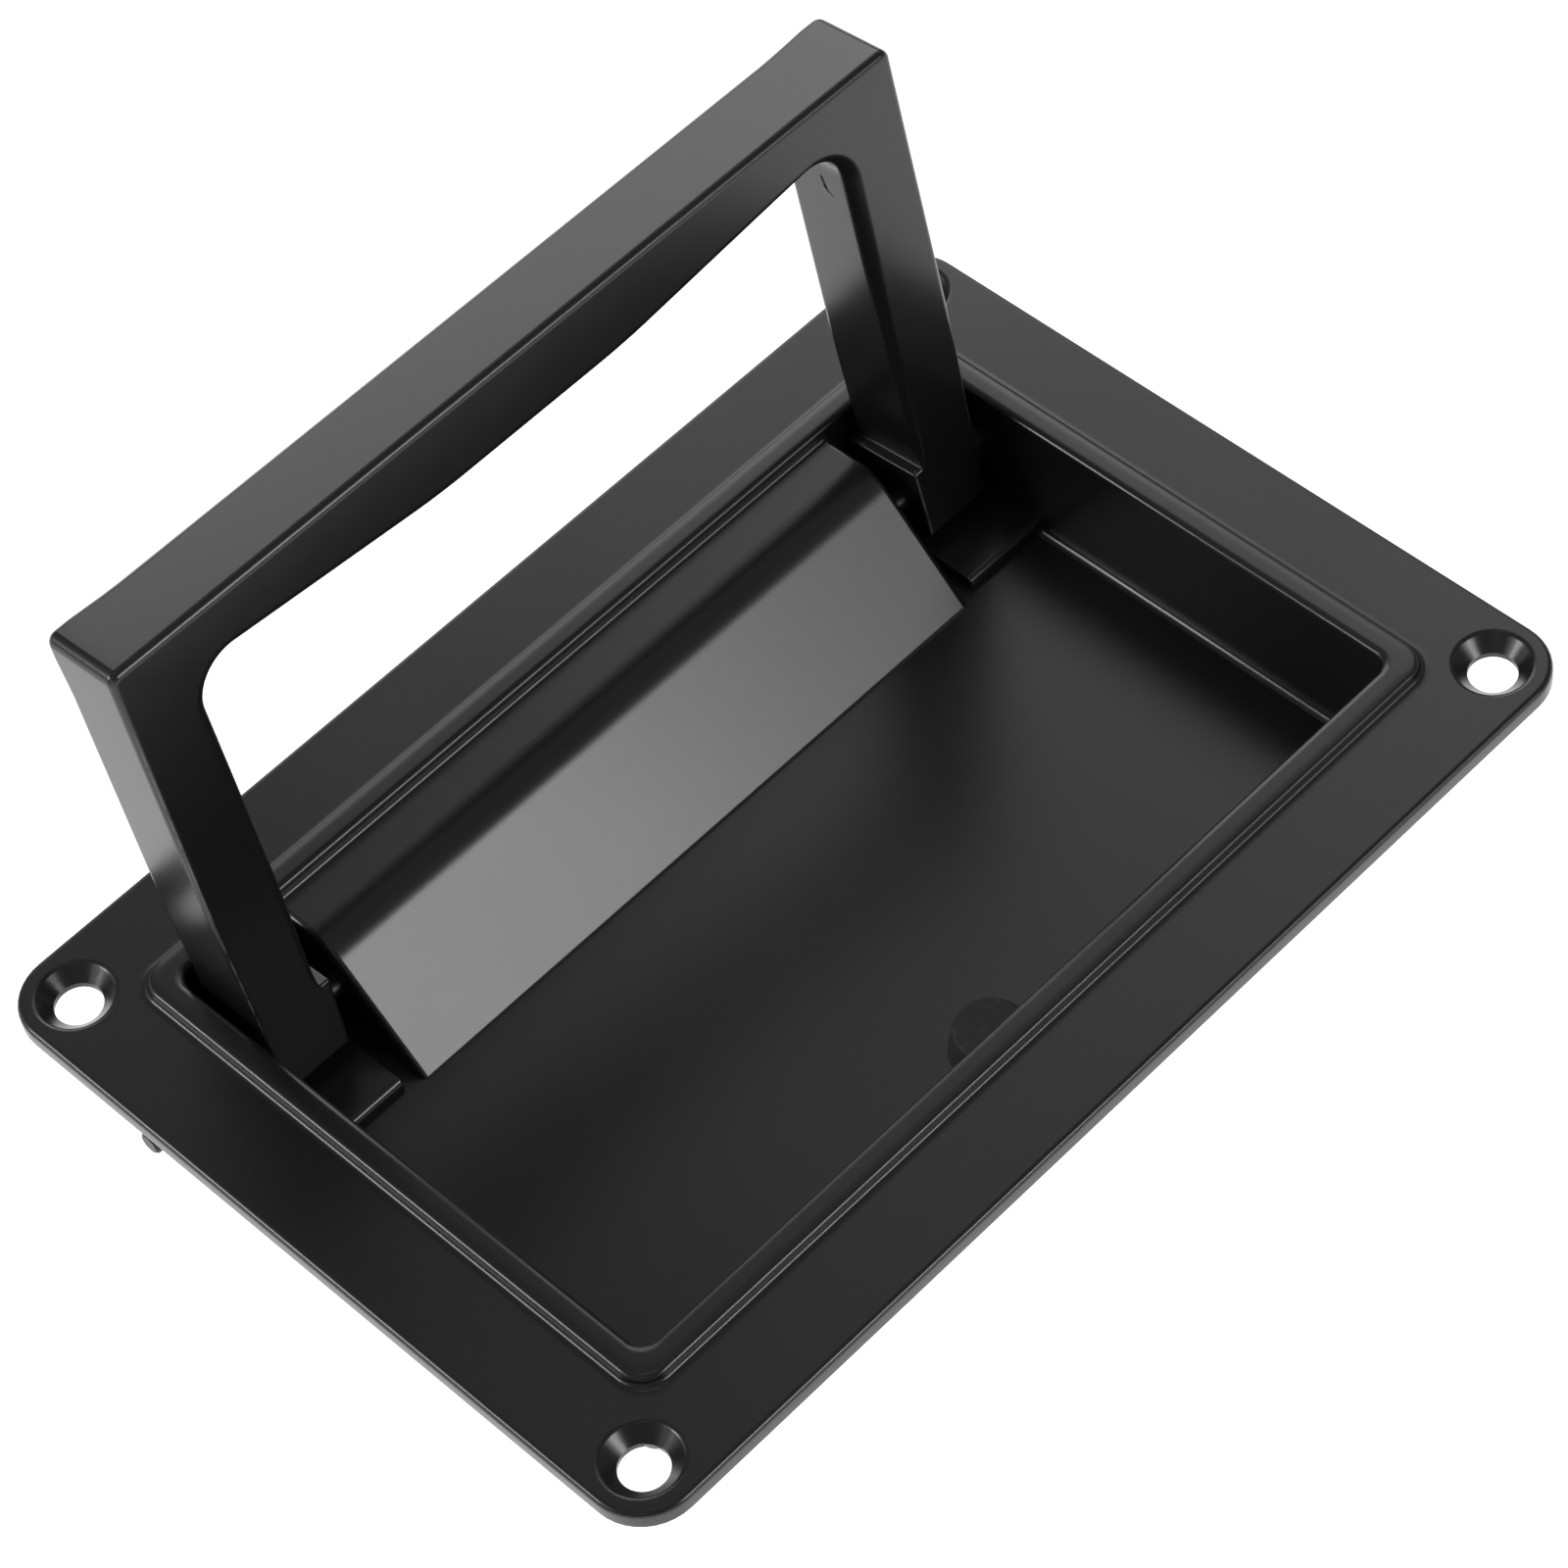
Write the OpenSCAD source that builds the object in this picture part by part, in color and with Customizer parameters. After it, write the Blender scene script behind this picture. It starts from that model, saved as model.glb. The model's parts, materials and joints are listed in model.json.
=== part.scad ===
// Recessed pull handle: a die-cast tray with a folding bail, hinged on one long pin.
// X runs along the grip, Y to the rear, Z out of the panel.
// The origin is the middle of the screw pattern, on the plane where the flange meets the panel.

/* [Flange] */
// Length of the flange along X
flange_l = 150; // [142:1:180]
// Width of the flange along Y
flange_w = 105.4; // [98:0.2:130]
// Thickness of the flange
flange_t = 2.5; // [2:0.1:3.5]
// Radius of the flange's corners, seen from the front
flange_corner_r = 6.9; // [3:0.1:9]
// Radius that rolls over the flange's top edge
flange_edge_r = 0.7; // [0.3:0.1:1.2]

/* [Screw holes] */
// Distance of the screw holes from the flange's ends
hole_inset_x = 6.75; // [6:0.05:7.5]
// Distance of the screw holes from the flange's long sides
hole_inset_y = 6.9; // [6.2:0.1:7.2]
// Diameter of the screw holes
hole_d = 5.8; // [4:0.1:6.2]
// Diameter of the countersinks at the flange's face
sink_d = 9.4; // [7.5:0.1:9.8]

/* [Pocket] */
// Length of the pocket at the rim
pocket_l = 120.2; // [119.6:0.1:121]
// Width of the pocket at the rim
pocket_w = 75.46; // [75:0.02:76]
// Distance that the pocket sits behind the middle of the flange
pocket_y = 0.43; // [0.2:0.01:0.8]
// Depth of the pocket's floor under the flange's panel face
pocket_depth = 12.9; // [12.6:0.1:16]
// How far each wall leans in from the rim to the floor
pocket_draft = 1; // [0.4:0.1:1.1]
// Radius of the pocket's upright corners
pocket_corner_r = 1.8; // [1.2:0.1:3]
// Radius between the pocket's walls and floor
floor_fillet_r = 1.1; // [0.5:0.1:1.5]
// Thickness of the pocket's walls
wall_t = 2; // [1.6:0.1:2.6]
// Thickness of the pocket's floor
floor_t = 1.8; // [1.4:0.1:2.6]

/* [Rim] */
// Width of the flat land on top of the rim
rim_land = 3; // [2:0.1:3.6]
// Height of the rim over the flange
rim_h = 1.36; // [0.8:0.02:2]
// How far the rim's outside leans out on its way down
rim_slope = 0.4; // [0.1:0.1:0.8]
// Radius that rolls over the rim's outer top edge
rim_edge_r = 0.4; // [0.2:0.1:0.6]

/* [Hump] */
// Gap between each end of the hump and the hub beside it
hump_gap = 2.45; // [1.95:0.05:12.65]
// Height of the hump's flat top over the panel face
hump_top = 2.1; // [1:0.1:2.4]
// Distance of the hump's foot from the rear wall at the rim
hump_foot = 21.9; // [20:0.1:30]
// Angle between the hump's slope and the floor
hump_slope = 52.4; // [48:0.1:60]
// Radius of the nose between the hump's top and its slope
hump_nose_r = 8; // [4:0.5:10]
// Radius round the hump's two ends
hump_end_r = 1; // [0.5:0.1:1.5]

/* [Hinge] */
// Distance of the hinge axis from the rear wall at the rim
axis_from_wall = 9.16; // [9.1:0.02:9.6]
// Depth of the hinge axis under the panel face
axis_depth = 5; // [4.9:0.1:5.2]
// Diameter of the hinge pin
pin_d = 3; // [2.5:0.1:3.4]
// Distance of the pin's ends from the flange's ends
pin_inset = 1.1; // [0.5:0.1:2]
// Chamfer on the ends of the pin
pin_chamfer = 0.3; // [0.1:0.1:0.5]
// Clearance on the radius between the pin and the bail's bores
pin_run = 0.05; // [0.02:0.01:0.1]
// Clearance on the radius between the pin and the tray's bores
pin_seat = 0.02; // [0.01:0.01:0.05]
// Diameter of the bosses that carry the pin
boss_d = 8; // [6.5:0.1:9]
// Distance of the bosses' outer faces from the flange's ends
boss_inset = 5.3; // [5:0.1:8]
// Diameter of the collars that centre the bail between the walls
collar_d = 6.4; // [5.5:0.1:7]
// Gap between each collar and the bail
collar_gap = 0.3; // [0.15:0.05:0.4]

/* [Retaining rings] */
// Outside diameter of the retaining rings
ring_d = 5.8; // [5:0.1:5.9]
// Thickness of the retaining rings
ring_t = 0.6; // [0.4:0.1:0.9]
// Depth of the pin's grooves for the rings
groove_depth = 0.35; // [0.2:0.05:0.5]
// Gap between each ring and its boss
ring_gap = 0.1; // [0.05:0.05:0.3]

/* [Bail] */
// Gap between the bail and each side wall at the rim
bail_gap = 1.75; // [1.5:0.05:2.1]
// Thickness of the bail from front to back
bail_t = 11.5; // [10:0.1:11.8]
// Distance from the hinge axis to the top of the bail
bail_reach = 65.2; // [60:0.1:65.4]
// Distance from the hinge axis to the bail's front face
bail_front = 4; // [3.6:0.1:4.1]
// Width of each leg
leg_w = 9.66; // [8:0.01:10.5]
// Depth of the grip at its middle
grip_depth = 10.56; // [9:0.02:12]
// Depth of the grip where it meets the legs
grip_end_depth = 7.3; // [6.5:0.1:9]
// Length of the straight stretch under the middle of the grip
grip_flat = 28; // [16:1:40]
// Radius inside the two corners of the hand opening
opening_r = 5.2; // [3:0.1:8]
// Radius of the bail's long edges
bail_edge_r = 1.3; // [0.6:0.1:1.8]
// Angle that the raised bail leans back
lean = 6.15; // [3:0.05:6.3]

/* [Hubs] */
// Radius of the round end of each hub
hub_r = 5.95; // [5.5:0.05:6]
// Width of each hub at its shoulder
hub_w = 10.7; // [10:0.1:11]
// Height of the shoulder over the hinge axis
shoulder_h = 6.1; // [5:0.1:8]
// Width that each side of a hub loses between the shoulder and the axis
hub_taper = 0.4; // [0.2:0.05:0.6]

/* [Platforms] */
// Gap between the folded or raised hubs and the platforms under them
platform_gap = 0.3; // [0.2:0.05:0.6]
// Distance of the platforms' front edge from the rear wall at the rim
platform_run = 20.8; // [18:0.1:24]
// Gap between the ends of the hump and the platforms
platform_side_gap = 1.9; // [1:0.1:3]
// Radius along the platforms' front edge
platform_edge_r = 0.9; // [0.4:0.1:1.2]

/* [Bumper pad] */
// Diameter of the pad's top
pad_d = 8.4; // [6:0.1:12]
// Diameter of the pad's foot
pad_foot_d = 10.2; // [8:0.1:14]
// Distance of the pad's middle from the front wall at the rim
pad_from_wall = 7.3; // [6.5:0.1:9]
// Gap between the pad and the folded grip
pad_gap = 0.1; // [0.05:0.05:0.3]
// Depth of the seat that locates the pad in the floor
pad_seat = 0.4; // [0.2:0.1:0.8]
// Radius round the pad's top edge
pad_edge_r = 0.5; // [0.2:0.1:1]

/* [Hidden] */
$fn = 64;
hull_fn = 32;
ball_fn = 20;
nose_steps = 6;
roof_r = 1.5;
crest_r = 5;
cut = 1;
coat = [0.07, 0.07, 0.075];
steel = [0.62, 0.62, 0.6];
rubber = [0.03, 0.03, 0.03];

hole_spacing_x = flange_l - 2 * hole_inset_x;
hole_spacing_y = flange_w - 2 * hole_inset_y;
pin_l = flange_l - 2 * pin_inset;
boss_span = flange_l - 2 * boss_inset;
floor_z = -pocket_depth;
rim_top = flange_t + rim_h;
rear_y = pocket_y + pocket_w / 2;
front_y = pocket_y - pocket_w / 2;
axis_y = rear_y - axis_from_wall;
axis_z = -axis_depth;
hump_foot_y = rear_y - hump_foot;
platform_z = axis_z - hub_r - platform_gap;
platform_y = rear_y - platform_run;
// Outer width of the bail
bail_w = pocket_l - 2 * bail_gap;
// Length of the hump between the bail's hubs
hump_l = bail_w - 2 * (hub_w + hump_gap);
platform_x = hump_l / 2 + platform_side_gap;
pad_y = front_y + pad_from_wall;
pad_top = axis_z - bail_front - pad_gap;
leg_inner = bail_w / 2 - leg_w;
leg_overlap = 3;
hub_rise = 1.5;
// Length of the web's arms, as a share of the corner's radius
web_share = 1.2;
// Width of a retaining ring's mouth, as a share of its groove
mouth_share = 0.8;
// Width that the hub's outside has lost where the hinge axis crosses it
hub_outer = bail_w / 2 - 2 * hub_taper * shoulder_h / (shoulder_h + hub_r);
ring_x = boss_span / 2 + ring_gap;

// Directions and tangent points of an outline whose points are [x, y, corner radius]
function unit(v) = v / norm(v);
function point(p, i) = let (q = p[(i + len(p)) % len(p)]) [q[0], q[1]];
function radius(p, i) = p[i][2];
function back_arm(p, i) = unit(point(p, i - 1) - point(p, i));
function next_arm(p, i) = unit(point(p, i + 1) - point(p, i));
function half_angle(p, i) = acos(back_arm(p, i) * next_arm(p, i)) / 2;
function turn(p, i) = let (a = -back_arm(p, i), b = next_arm(p, i)) sign(a[0] * b[1] - a[1] * b[0]);
function arc_start(p, i) = point(p, i) + back_arm(p, i) * radius(p, i) / tan(half_angle(p, i));
function arc_end(p, i) = point(p, i) + next_arm(p, i) * radius(p, i) / tan(half_angle(p, i));
function bisector(p, i) = unit(back_arm(p, i) + next_arm(p, i));
function arc_centre(p, i) = point(p, i) + bisector(p, i) * radius(p, i) / sin(half_angle(p, i));

// Sector between an arc and its centre
module sector(p, i) {
    c = arc_centre(p, i);
    beyond = 2;
    intersection() {
        translate(c) circle(r = radius(p, i));
        polygon([c, c + (arc_start(p, i) - c) * beyond, c + (arc_end(p, i) - c) * beyond]);
    }
}

// Outline with rounded corners, its points listed anticlockwise
module outline(p) {
    last = len(p) - 1;
    difference() {
        union() {
            polygon([for (i = [0:last])
                each radius(p, i) > 0 ? [arc_start(p, i), arc_centre(p, i), arc_end(p, i)] : [point(p, i)]]);
            for (i = [0:last]) if (radius(p, i) > 0 && turn(p, i) > 0) sector(p, i);
        }
        for (i = [0:last]) if (radius(p, i) > 0 && turn(p, i) < 0) sector(p, i);
    }
}

// Bar along X from a section drawn with Y across and Z up
module bar(length) {
    rotate([90, 0, 90]) translate([0, 0, -length / 2]) linear_extrude(length) children();
}

// Places its children at the four corners of a rectangle
module at_corners(l, w) {
    for (x = [-1, 1], y = [-1, 1]) translate([x * l / 2, y * w / 2, 0]) children();
}

// Slab with round corners whose upper edge is rolled over
module rolled_slab(l, w, h, corner_r, edge_r, slope = 0) {
    hull() at_corners(l - 2 * corner_r, w - 2 * corner_r) {
        cylinder(r = corner_r + slope, h = cut, $fn = hull_fn);
        translate([0, 0, h - edge_r])
            rotate_extrude($fn = hull_fn) translate([corner_r - edge_r, 0]) circle(r = edge_r, $fn = ball_fn);
    }
}

// Space of the pocket, with leaning walls and a filleted floor
module pocket_space() {
    r = pocket_corner_r;
    f = floor_fillet_r;
    translate([0, pocket_y, 0]) hull() {
        translate([0, 0, rim_top]) at_corners(pocket_l - 2 * r, pocket_w - 2 * r)
            cylinder(r = r, h = cut, $fn = hull_fn);
        inset = 2 * (pocket_draft + f);
        translate([0, 0, floor_z + f]) at_corners(pocket_l - inset, pocket_w - inset)
            sphere(r = f, $fn = ball_fn);
    }
}

// Outside of the pan that hangs under the flange
module pan() {
    r = floor_fillet_r + wall_t;
    grow = 2 * wall_t;
    shrink = 2 * pocket_draft;
    translate([0, pocket_y, 0]) hull() {
        translate([0, 0, flange_t / 2]) at_corners(pocket_l + grow - 2 * r, pocket_w + grow - 2 * r)
            cylinder(r = r, h = flange_t / 4, $fn = hull_fn);
        translate([0, 0, floor_z - floor_t + r])
            at_corners(pocket_l + grow - shrink - 2 * r, pocket_w + grow - shrink - 2 * r)
                sphere(r = r, $fn = hull_fn);
    }
}

// Hump that covers the hinge pin between the two hubs
module hump() {
    r = hump_end_r;
    half = hump_l / 2 - r;
    nose_r = hump_nose_r - r;
    nose_y = hump_foot_y + (hump_top - floor_z) / tan(hump_slope) + hump_nose_r * tan(hump_slope / 2);
    foot_y = hump_foot_y + r / sin(hump_slope) + r / tan(hump_slope) - (r + cut) / tan(hump_slope);
    hull() for (x = [-half, half]) {
        for (a = [0:nose_steps])
            translate([x, nose_y - nose_r * sin(a * hump_slope / nose_steps),
                       hump_top - hump_nose_r + nose_r * cos(a * hump_slope / nose_steps)])
                sphere(r = r, $fn = ball_fn);
        translate([x, rear_y + wall_t / 2, hump_top - r]) sphere(r = r, $fn = ball_fn);
        translate([x, rear_y + wall_t / 2, floor_z - cut]) sphere(r = r, $fn = ball_fn);
        translate([x, foot_y, floor_z - cut]) sphere(r = r, $fn = ball_fn);
    }
}

// Hollow under the hump, open at the back of the tray
module hump_hollow() {
    t = wall_t;
    roof = hump_top - t;
    bottom = floor_z - floor_t - cut;
    back = rear_y - pocket_draft;
    slope_back = t / sin(hump_slope);
    foot = hump_foot_y + slope_back - (floor_z - bottom) / tan(hump_slope);
    crest = hump_foot_y + slope_back + (roof - floor_z) / tan(hump_slope);
    bar(hump_l - 2 * t)
        outline([[foot, bottom, 0], [back, bottom, 0], [back, roof, roof_r], [crest, roof, crest_r]]);
}

// Low step under each hub, joined to the pocket's walls
module platform() {
    r = platform_edge_r;
    step_l = pocket_l / 2 + wall_t / 2 - platform_x;
    translate([platform_x + step_l / 2, 0, 0]) bar(step_l)
        outline([[platform_y, floor_z - cut, 0], [rear_y + wall_t / 2, floor_z - cut, 0],
                 [rear_y + wall_t / 2, platform_z, 0], [platform_y, platform_z, r]]);
}

// Cast boss outside a side wall, tied to the flange above it
module boss() {
    inner = pocket_l / 2;
    length = boss_span / 2 - inner;
    translate([inner, axis_y, axis_z]) {
        rotate([0, 90, 0]) cylinder(d = boss_d, h = length);
        translate([0, -boss_d / 2, 0]) cube([length, boss_d, axis_depth + flange_t / 2]);
    }
}

// Collar inside a side wall that keeps the bail in the middle
module collar() {
    face = hub_outer + collar_gap;
    translate([face, axis_y, axis_z]) rotate([0, 90, 0]) cylinder(d = collar_d, h = pocket_l / 2 - face);
}

// Countersunk screw hole, from the flange's face down
module screw_hole() {
    sink = (sink_d - hole_d) / 2;
    translate([0, 0, -cut]) cylinder(d = hole_d, h = flange_t + 2 * cut);
    translate([0, 0, flange_t - sink]) cylinder(d1 = hole_d, d2 = sink_d + 2 * cut, h = sink + cut);
}

module both_sides() {
    children();
    mirror([1, 0, 0]) children();
}

module along_pin(d, length) {
    translate([0, axis_y, axis_z]) rotate([0, 90, 0]) cylinder(d = d, h = length, center = true);
}

module tray() {
    color(coat) difference() {
        union() {
            rolled_slab(flange_l, flange_w, flange_t, flange_corner_r, flange_edge_r);
            translate([0, pocket_y, flange_t - cut])
                rolled_slab(pocket_l + 2 * rim_land, pocket_w + 2 * rim_land, rim_h + cut,
                            pocket_corner_r + rim_land / 2, rim_edge_r, rim_slope);
            pan();
            both_sides() boss();
        }
        difference() {
            pocket_space();
            hump();
            both_sides() platform();
            both_sides() collar();
        }
        hump_hollow();
        at_corners(hole_spacing_x, hole_spacing_y) screw_hole();
        along_pin(pin_d + 2 * pin_seat, flange_l);
        translate([0, pad_y, floor_z - pad_seat]) cylinder(d = pad_foot_d, h = pad_seat + floor_fillet_r / 2);
    }
}

// Beam between two upright planes, its long edges rounded; low0 and low1 are its undersides there
module rounded_beam(x0, x1, low0, low1) {
    r = bail_edge_r;
    hull() for (y = [r - bail_front, bail_t - bail_front - r], z = [0, 1]) {
        translate([x0, y, z * (bail_reach - r) + (1 - z) * (low0 + r)]) sphere(r = r, $fn = ball_fn);
        translate([x1, y, z * (bail_reach - r) + (1 - z) * (low1 + r)]) sphere(r = r, $fn = ball_fn);
    }
}

// Leg from the hub's shoulder to the top
module leg() {
    r = bail_edge_r;
    low = shoulder_h - leg_overlap;
    rounded_beam(leg_inner + r, bail_w / 2 - r, low, low);
}

// Half of the grip: straight in the middle, then tapering towards the leg
module half_grip() {
    middle = bail_reach - grip_depth;
    rounded_beam(0, grip_flat / 2, middle, middle);
    rounded_beam(grip_flat / 2, leg_inner + bail_edge_r, middle, bail_reach - grip_end_depth);
}

// Fillet inside a corner of the hand opening
module corner_web() {
    corner_z = bail_reach - grip_end_depth;
    slope = (grip_depth - grip_end_depth) / (leg_inner - grip_flat / 2);
    arm = opening_r * web_share;
    back = leg_w / 2;
    top = corner_z + grip_end_depth / 2;
    translate([0, bail_t - bail_front, 0]) rotate([90, 0, 0]) linear_extrude(bail_t)
        outline([[leg_inner, corner_z - arm, 0], [leg_inner + back, corner_z - arm, 0],
                 [leg_inner + back, top, 0], [leg_inner - arm, top, 0],
                 [leg_inner - arm, corner_z - arm * slope, 0], [leg_inner, corner_z, opening_r]]);
}

// Side view of a hub: a round end cut flat at the front, running up into the leg
module hub_side() {
    difference() {
        circle(r = hub_r);
        translate([-bail_front - hub_r, -hub_r]) square([hub_r, 2 * hub_r]);
    }
    translate([-bail_front, 0]) square([hub_r + bail_front, shoulder_h]);
    polygon([[0, 0], [hub_r, 0], [bail_t - bail_front, hub_rise], [bail_t - bail_front, shoulder_h], [0, shoulder_h]]);
}

// Front view of a hub, a little narrower towards its round end
module hub_front() {
    inner = bail_w / 2 - hub_w;
    polygon([[inner, shoulder_h], [inner + hub_taper, -hub_r], [bail_w / 2 - 2 * hub_taper, -hub_r],
             [bail_w / 2, shoulder_h]]);
}

module hub() {
    intersection() {
        translate([bail_w / 2 - hub_w / 2, 0, 0]) bar(hub_w + 2 * cut) hub_side();
        translate([0, bail_t, 0]) rotate([90, 0, 0]) linear_extrude(2 * bail_t) hub_front();
    }
}

module bail() {
    color(coat) translate([0, axis_y, axis_z]) rotate([-lean, 0, 0]) difference() {
        union() {
            both_sides() {
                leg();
                half_grip();
                corner_web();
                hub();
            }
        }
        rotate([0, 90, 0]) cylinder(d = pin_d + 2 * pin_run, h = bail_w + 2 * cut, center = true);
    }
}

module hinge_pin() {
    c = pin_chamfer;
    groove_d = pin_d - 2 * groove_depth;
    color(steel) translate([0, axis_y, axis_z]) difference() {
        union() {
            rotate([0, 90, 0]) cylinder(d = pin_d, h = pin_l - 2 * c, center = true);
            both_sides() translate([pin_l / 2 - c, 0, 0]) rotate([0, 90, 0])
                cylinder(d1 = pin_d, d2 = pin_d - 2 * c, h = c);
        }
        both_sides() translate([ring_x, 0, 0]) rotate([0, 90, 0]) difference() {
            cylinder(d = pin_d + cut, h = ring_t);
            cylinder(d = groove_d, h = ring_t);
        }
    }
}

// E-shaped ring, pushed over the pin's groove from below
module retaining_ring() {
    groove_d = pin_d - 2 * groove_depth;
    mouth = groove_d * mouth_share;
    color(steel) translate([ring_x, axis_y, axis_z]) rotate([0, 90, 0]) linear_extrude(ring_t) difference() {
        circle(d = ring_d);
        circle(d = groove_d);
        translate([0, -mouth / 2]) square([ring_d, mouth]);
    }
}

module retaining_ring_right() {
    retaining_ring();
}

module retaining_ring_left() {
    mirror([1, 0, 0]) retaining_ring();
}

module bumper_pad() {
    base = floor_z - pad_seat;
    height = pad_top - base;
    color(rubber) translate([0, pad_y, base]) rotate_extrude()
        outline([[0, 0, 0], [pad_foot_d / 2, 0, 0], [pad_foot_d / 2, pad_seat, 0], [pad_d / 2, height, pad_edge_r],
                 [0, height, 0]]);
}

tray();
bail();
hinge_pin();
retaining_ring_left();
retaining_ring_right();
bumper_pad();
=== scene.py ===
# %% [markdown]
# # A recessed pull handle, dressed for its picture
#
# The object is a die-cast tray that drops into a cut-out in a panel, with a bail grip that folds
# down into it on one long steel pin. The imported model already holds every solid at its true size.
# This lesson builds the surfaces that a camera sees: the rolled edges, the small cast fillets and the
# satin black coating. Each step first says what the thing is, and then makes it.
#
# The frame comes first, because every piece made here rides on one of its two bodies, "tray" and
# "bail".

# %% Load the frame
import json
import math
import bmesh
import bpy
from mathutils import Matrix, Vector
from mathutils.bvhtree import BVHTree

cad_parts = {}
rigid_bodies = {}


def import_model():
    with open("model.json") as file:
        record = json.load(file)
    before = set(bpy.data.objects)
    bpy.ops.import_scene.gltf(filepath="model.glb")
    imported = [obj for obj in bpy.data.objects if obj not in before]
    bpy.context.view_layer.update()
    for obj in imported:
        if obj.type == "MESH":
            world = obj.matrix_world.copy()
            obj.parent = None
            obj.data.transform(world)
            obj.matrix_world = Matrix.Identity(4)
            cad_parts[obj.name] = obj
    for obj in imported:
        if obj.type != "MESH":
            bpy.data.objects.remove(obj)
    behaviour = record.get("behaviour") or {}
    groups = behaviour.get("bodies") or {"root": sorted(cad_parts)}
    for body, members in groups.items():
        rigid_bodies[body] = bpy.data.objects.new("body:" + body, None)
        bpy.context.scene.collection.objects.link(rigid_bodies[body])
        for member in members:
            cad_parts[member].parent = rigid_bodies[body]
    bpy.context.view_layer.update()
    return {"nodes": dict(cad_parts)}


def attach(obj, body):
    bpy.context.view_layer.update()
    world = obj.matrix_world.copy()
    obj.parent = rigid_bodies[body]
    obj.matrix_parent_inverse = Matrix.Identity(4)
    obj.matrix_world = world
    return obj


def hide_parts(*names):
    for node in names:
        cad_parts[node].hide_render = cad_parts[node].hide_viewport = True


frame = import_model()

# %% [markdown]
# Drawings of such hardware are in millimetres and Blender works in metres. Sizes below are written in
# millimetres, and one factor turns a finished mesh into metres. The pocket's mouth stands a few tenths of
# a millimetre off the middle of the flange, as castings often do, so it has a centre of its own.

# %% Units and main sizes
MM = 0.001
FLANGE = {"half_x": 75.0, "half_y": 52.7, "thick": 2.5, "corner": 6.9}
POCKET = {"half_x": 59.9, "half_y": 37.6, "centre": (0.4, 0.3), "floor": -12.9, "draft": 1.0}
RIM = {"top": 3.86, "corner": 2.2}
AXIS_Y, AXIS_Z = 29.0, -5.0
LEAN = math.radians(6.15)
print("flange", FLANGE, "pocket", POCKET, "rim", RIM)

# %% [markdown]
# ## Skins of rings
#
# A casting like this tray is mostly closed outlines stacked inside each other: the floor's outline, the
# wall's, the rim's and the flange's. If every outline has the same number of points, neighbouring
# outlines join with plain quads, and the roll of an edge is simply a few outlines close together. This
# gives smooth reflections, which matter more than anything on a glossy black part.

# %% A skin from rings
def skin(rings):
    """Vertices and faces of one closed skin through rings of equal length."""
    count = len(rings[0])
    vertices = [tuple(point) for ring in rings for point in ring]
    faces = []
    for row in range(len(rings) - 1):
        low, high = row * count, (row + 1) * count
        for i in range(count):
            j = (i + 1) % count
            faces.append((low + i, low + j, high + j, high + i))
    faces.append(tuple(reversed(range(count))))
    faces.append(tuple(range((len(rings) - 1) * count, len(rings) * count)))
    return vertices, faces


def solid(name, vertices, faces):
    """Object from a skin in millimetres, its faces turned outwards."""
    mesh = bpy.data.meshes.new(name)
    mesh.from_pydata([(x * MM, y * MM, z * MM) for x, y, z in vertices], [], faces)
    work = bmesh.new()
    work.from_mesh(mesh)
    bmesh.ops.recalc_face_normals(work, faces=work.faces)
    work.to_mesh(mesh)
    work.free()
    piece = bpy.data.objects.new(name, mesh)
    bpy.context.scene.collection.objects.link(piece)
    return piece


def quarter(steps):
    """(cosine, sine) pairs along a quarter of a turn."""
    angles = [math.radians(90.0 * i / steps) for i in range(steps + 1)]
    return [(math.cos(a), math.sin(a)) for a in angles]


print("a roll of six steps:", [(round(c, 2), round(s, 2)) for c, s in quarter(6)])

# %% [markdown]
# ## The tray's body
#
# On the real handle the flange, rim, pocket and pan are one die casting. The outline is a rectangle
# with round corners at every height, so one function draws it, and the list below walks from the middle
# of the floor, up the drafted wall, over the rolled rim, out across the flange, round its edge and back
# underneath. Metal never has a perfect edge: each roll here has the radius that shows in its highlight.

# %% Rounded outlines
CORNER_STEPS = 10


def outline(half_x, half_y, corner, z, centre=(0.0, 0.0)):
    """Ring round a rectangle with round corners, anticlockwise from the right side's rear end."""
    points = []
    for turn, (sx, sy) in enumerate([(1, 1), (-1, 1), (-1, -1), (1, -1)]):
        cx, cy = centre[0] + sx * (half_x - corner), centre[1] + sy * (half_y - corner)
        for step in range(CORNER_STEPS + 1):
            a = math.radians(90 * (turn + step / CORNER_STEPS))
            points.append((cx + corner * math.cos(a), cy + corner * math.sin(a), z))
    return points


def pocket_ring(out, z, corner):
    """Ring that stands out from the pocket's mouth by a distance."""
    return outline(POCKET["half_x"] + out, POCKET["half_y"] + out, corner, z, POCKET["centre"])


def flange_ring(out, z):
    return outline(FLANGE["half_x"] + out, FLANGE["half_y"] + out, FLANGE["corner"] + out, z)


print("points in a ring:", len(flange_ring(0, 0)))

# %% The walk from floor to lip
FLOOR_FILLET, FLOOR_CORNER, WALL_CORNER = 1.1, 0.5, 1.5
LIP_R, LIP_DROP, CORNER_GROWTH = 1.0, 0.65, 0.4
floor, draft, top = POCKET["floor"], POCKET["draft"], RIM["top"]
rings = []
for c, s in quarter(8):
    corner = FLOOR_CORNER + (WALL_CORNER - FLOOR_CORNER) * s
    rings.append(pocket_ring(-draft - FLOOR_FILLET * (1 - s), floor + FLOOR_FILLET * (1 - c), corner))
for c, s in quarter(9):
    out = LIP_R * (1 - c)
    rings.append(pocket_ring(out, top - LIP_DROP * (1 - s), RIM["corner"] + CORNER_GROWTH * out))
print("rings from floor to lip:", len(rings))

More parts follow.
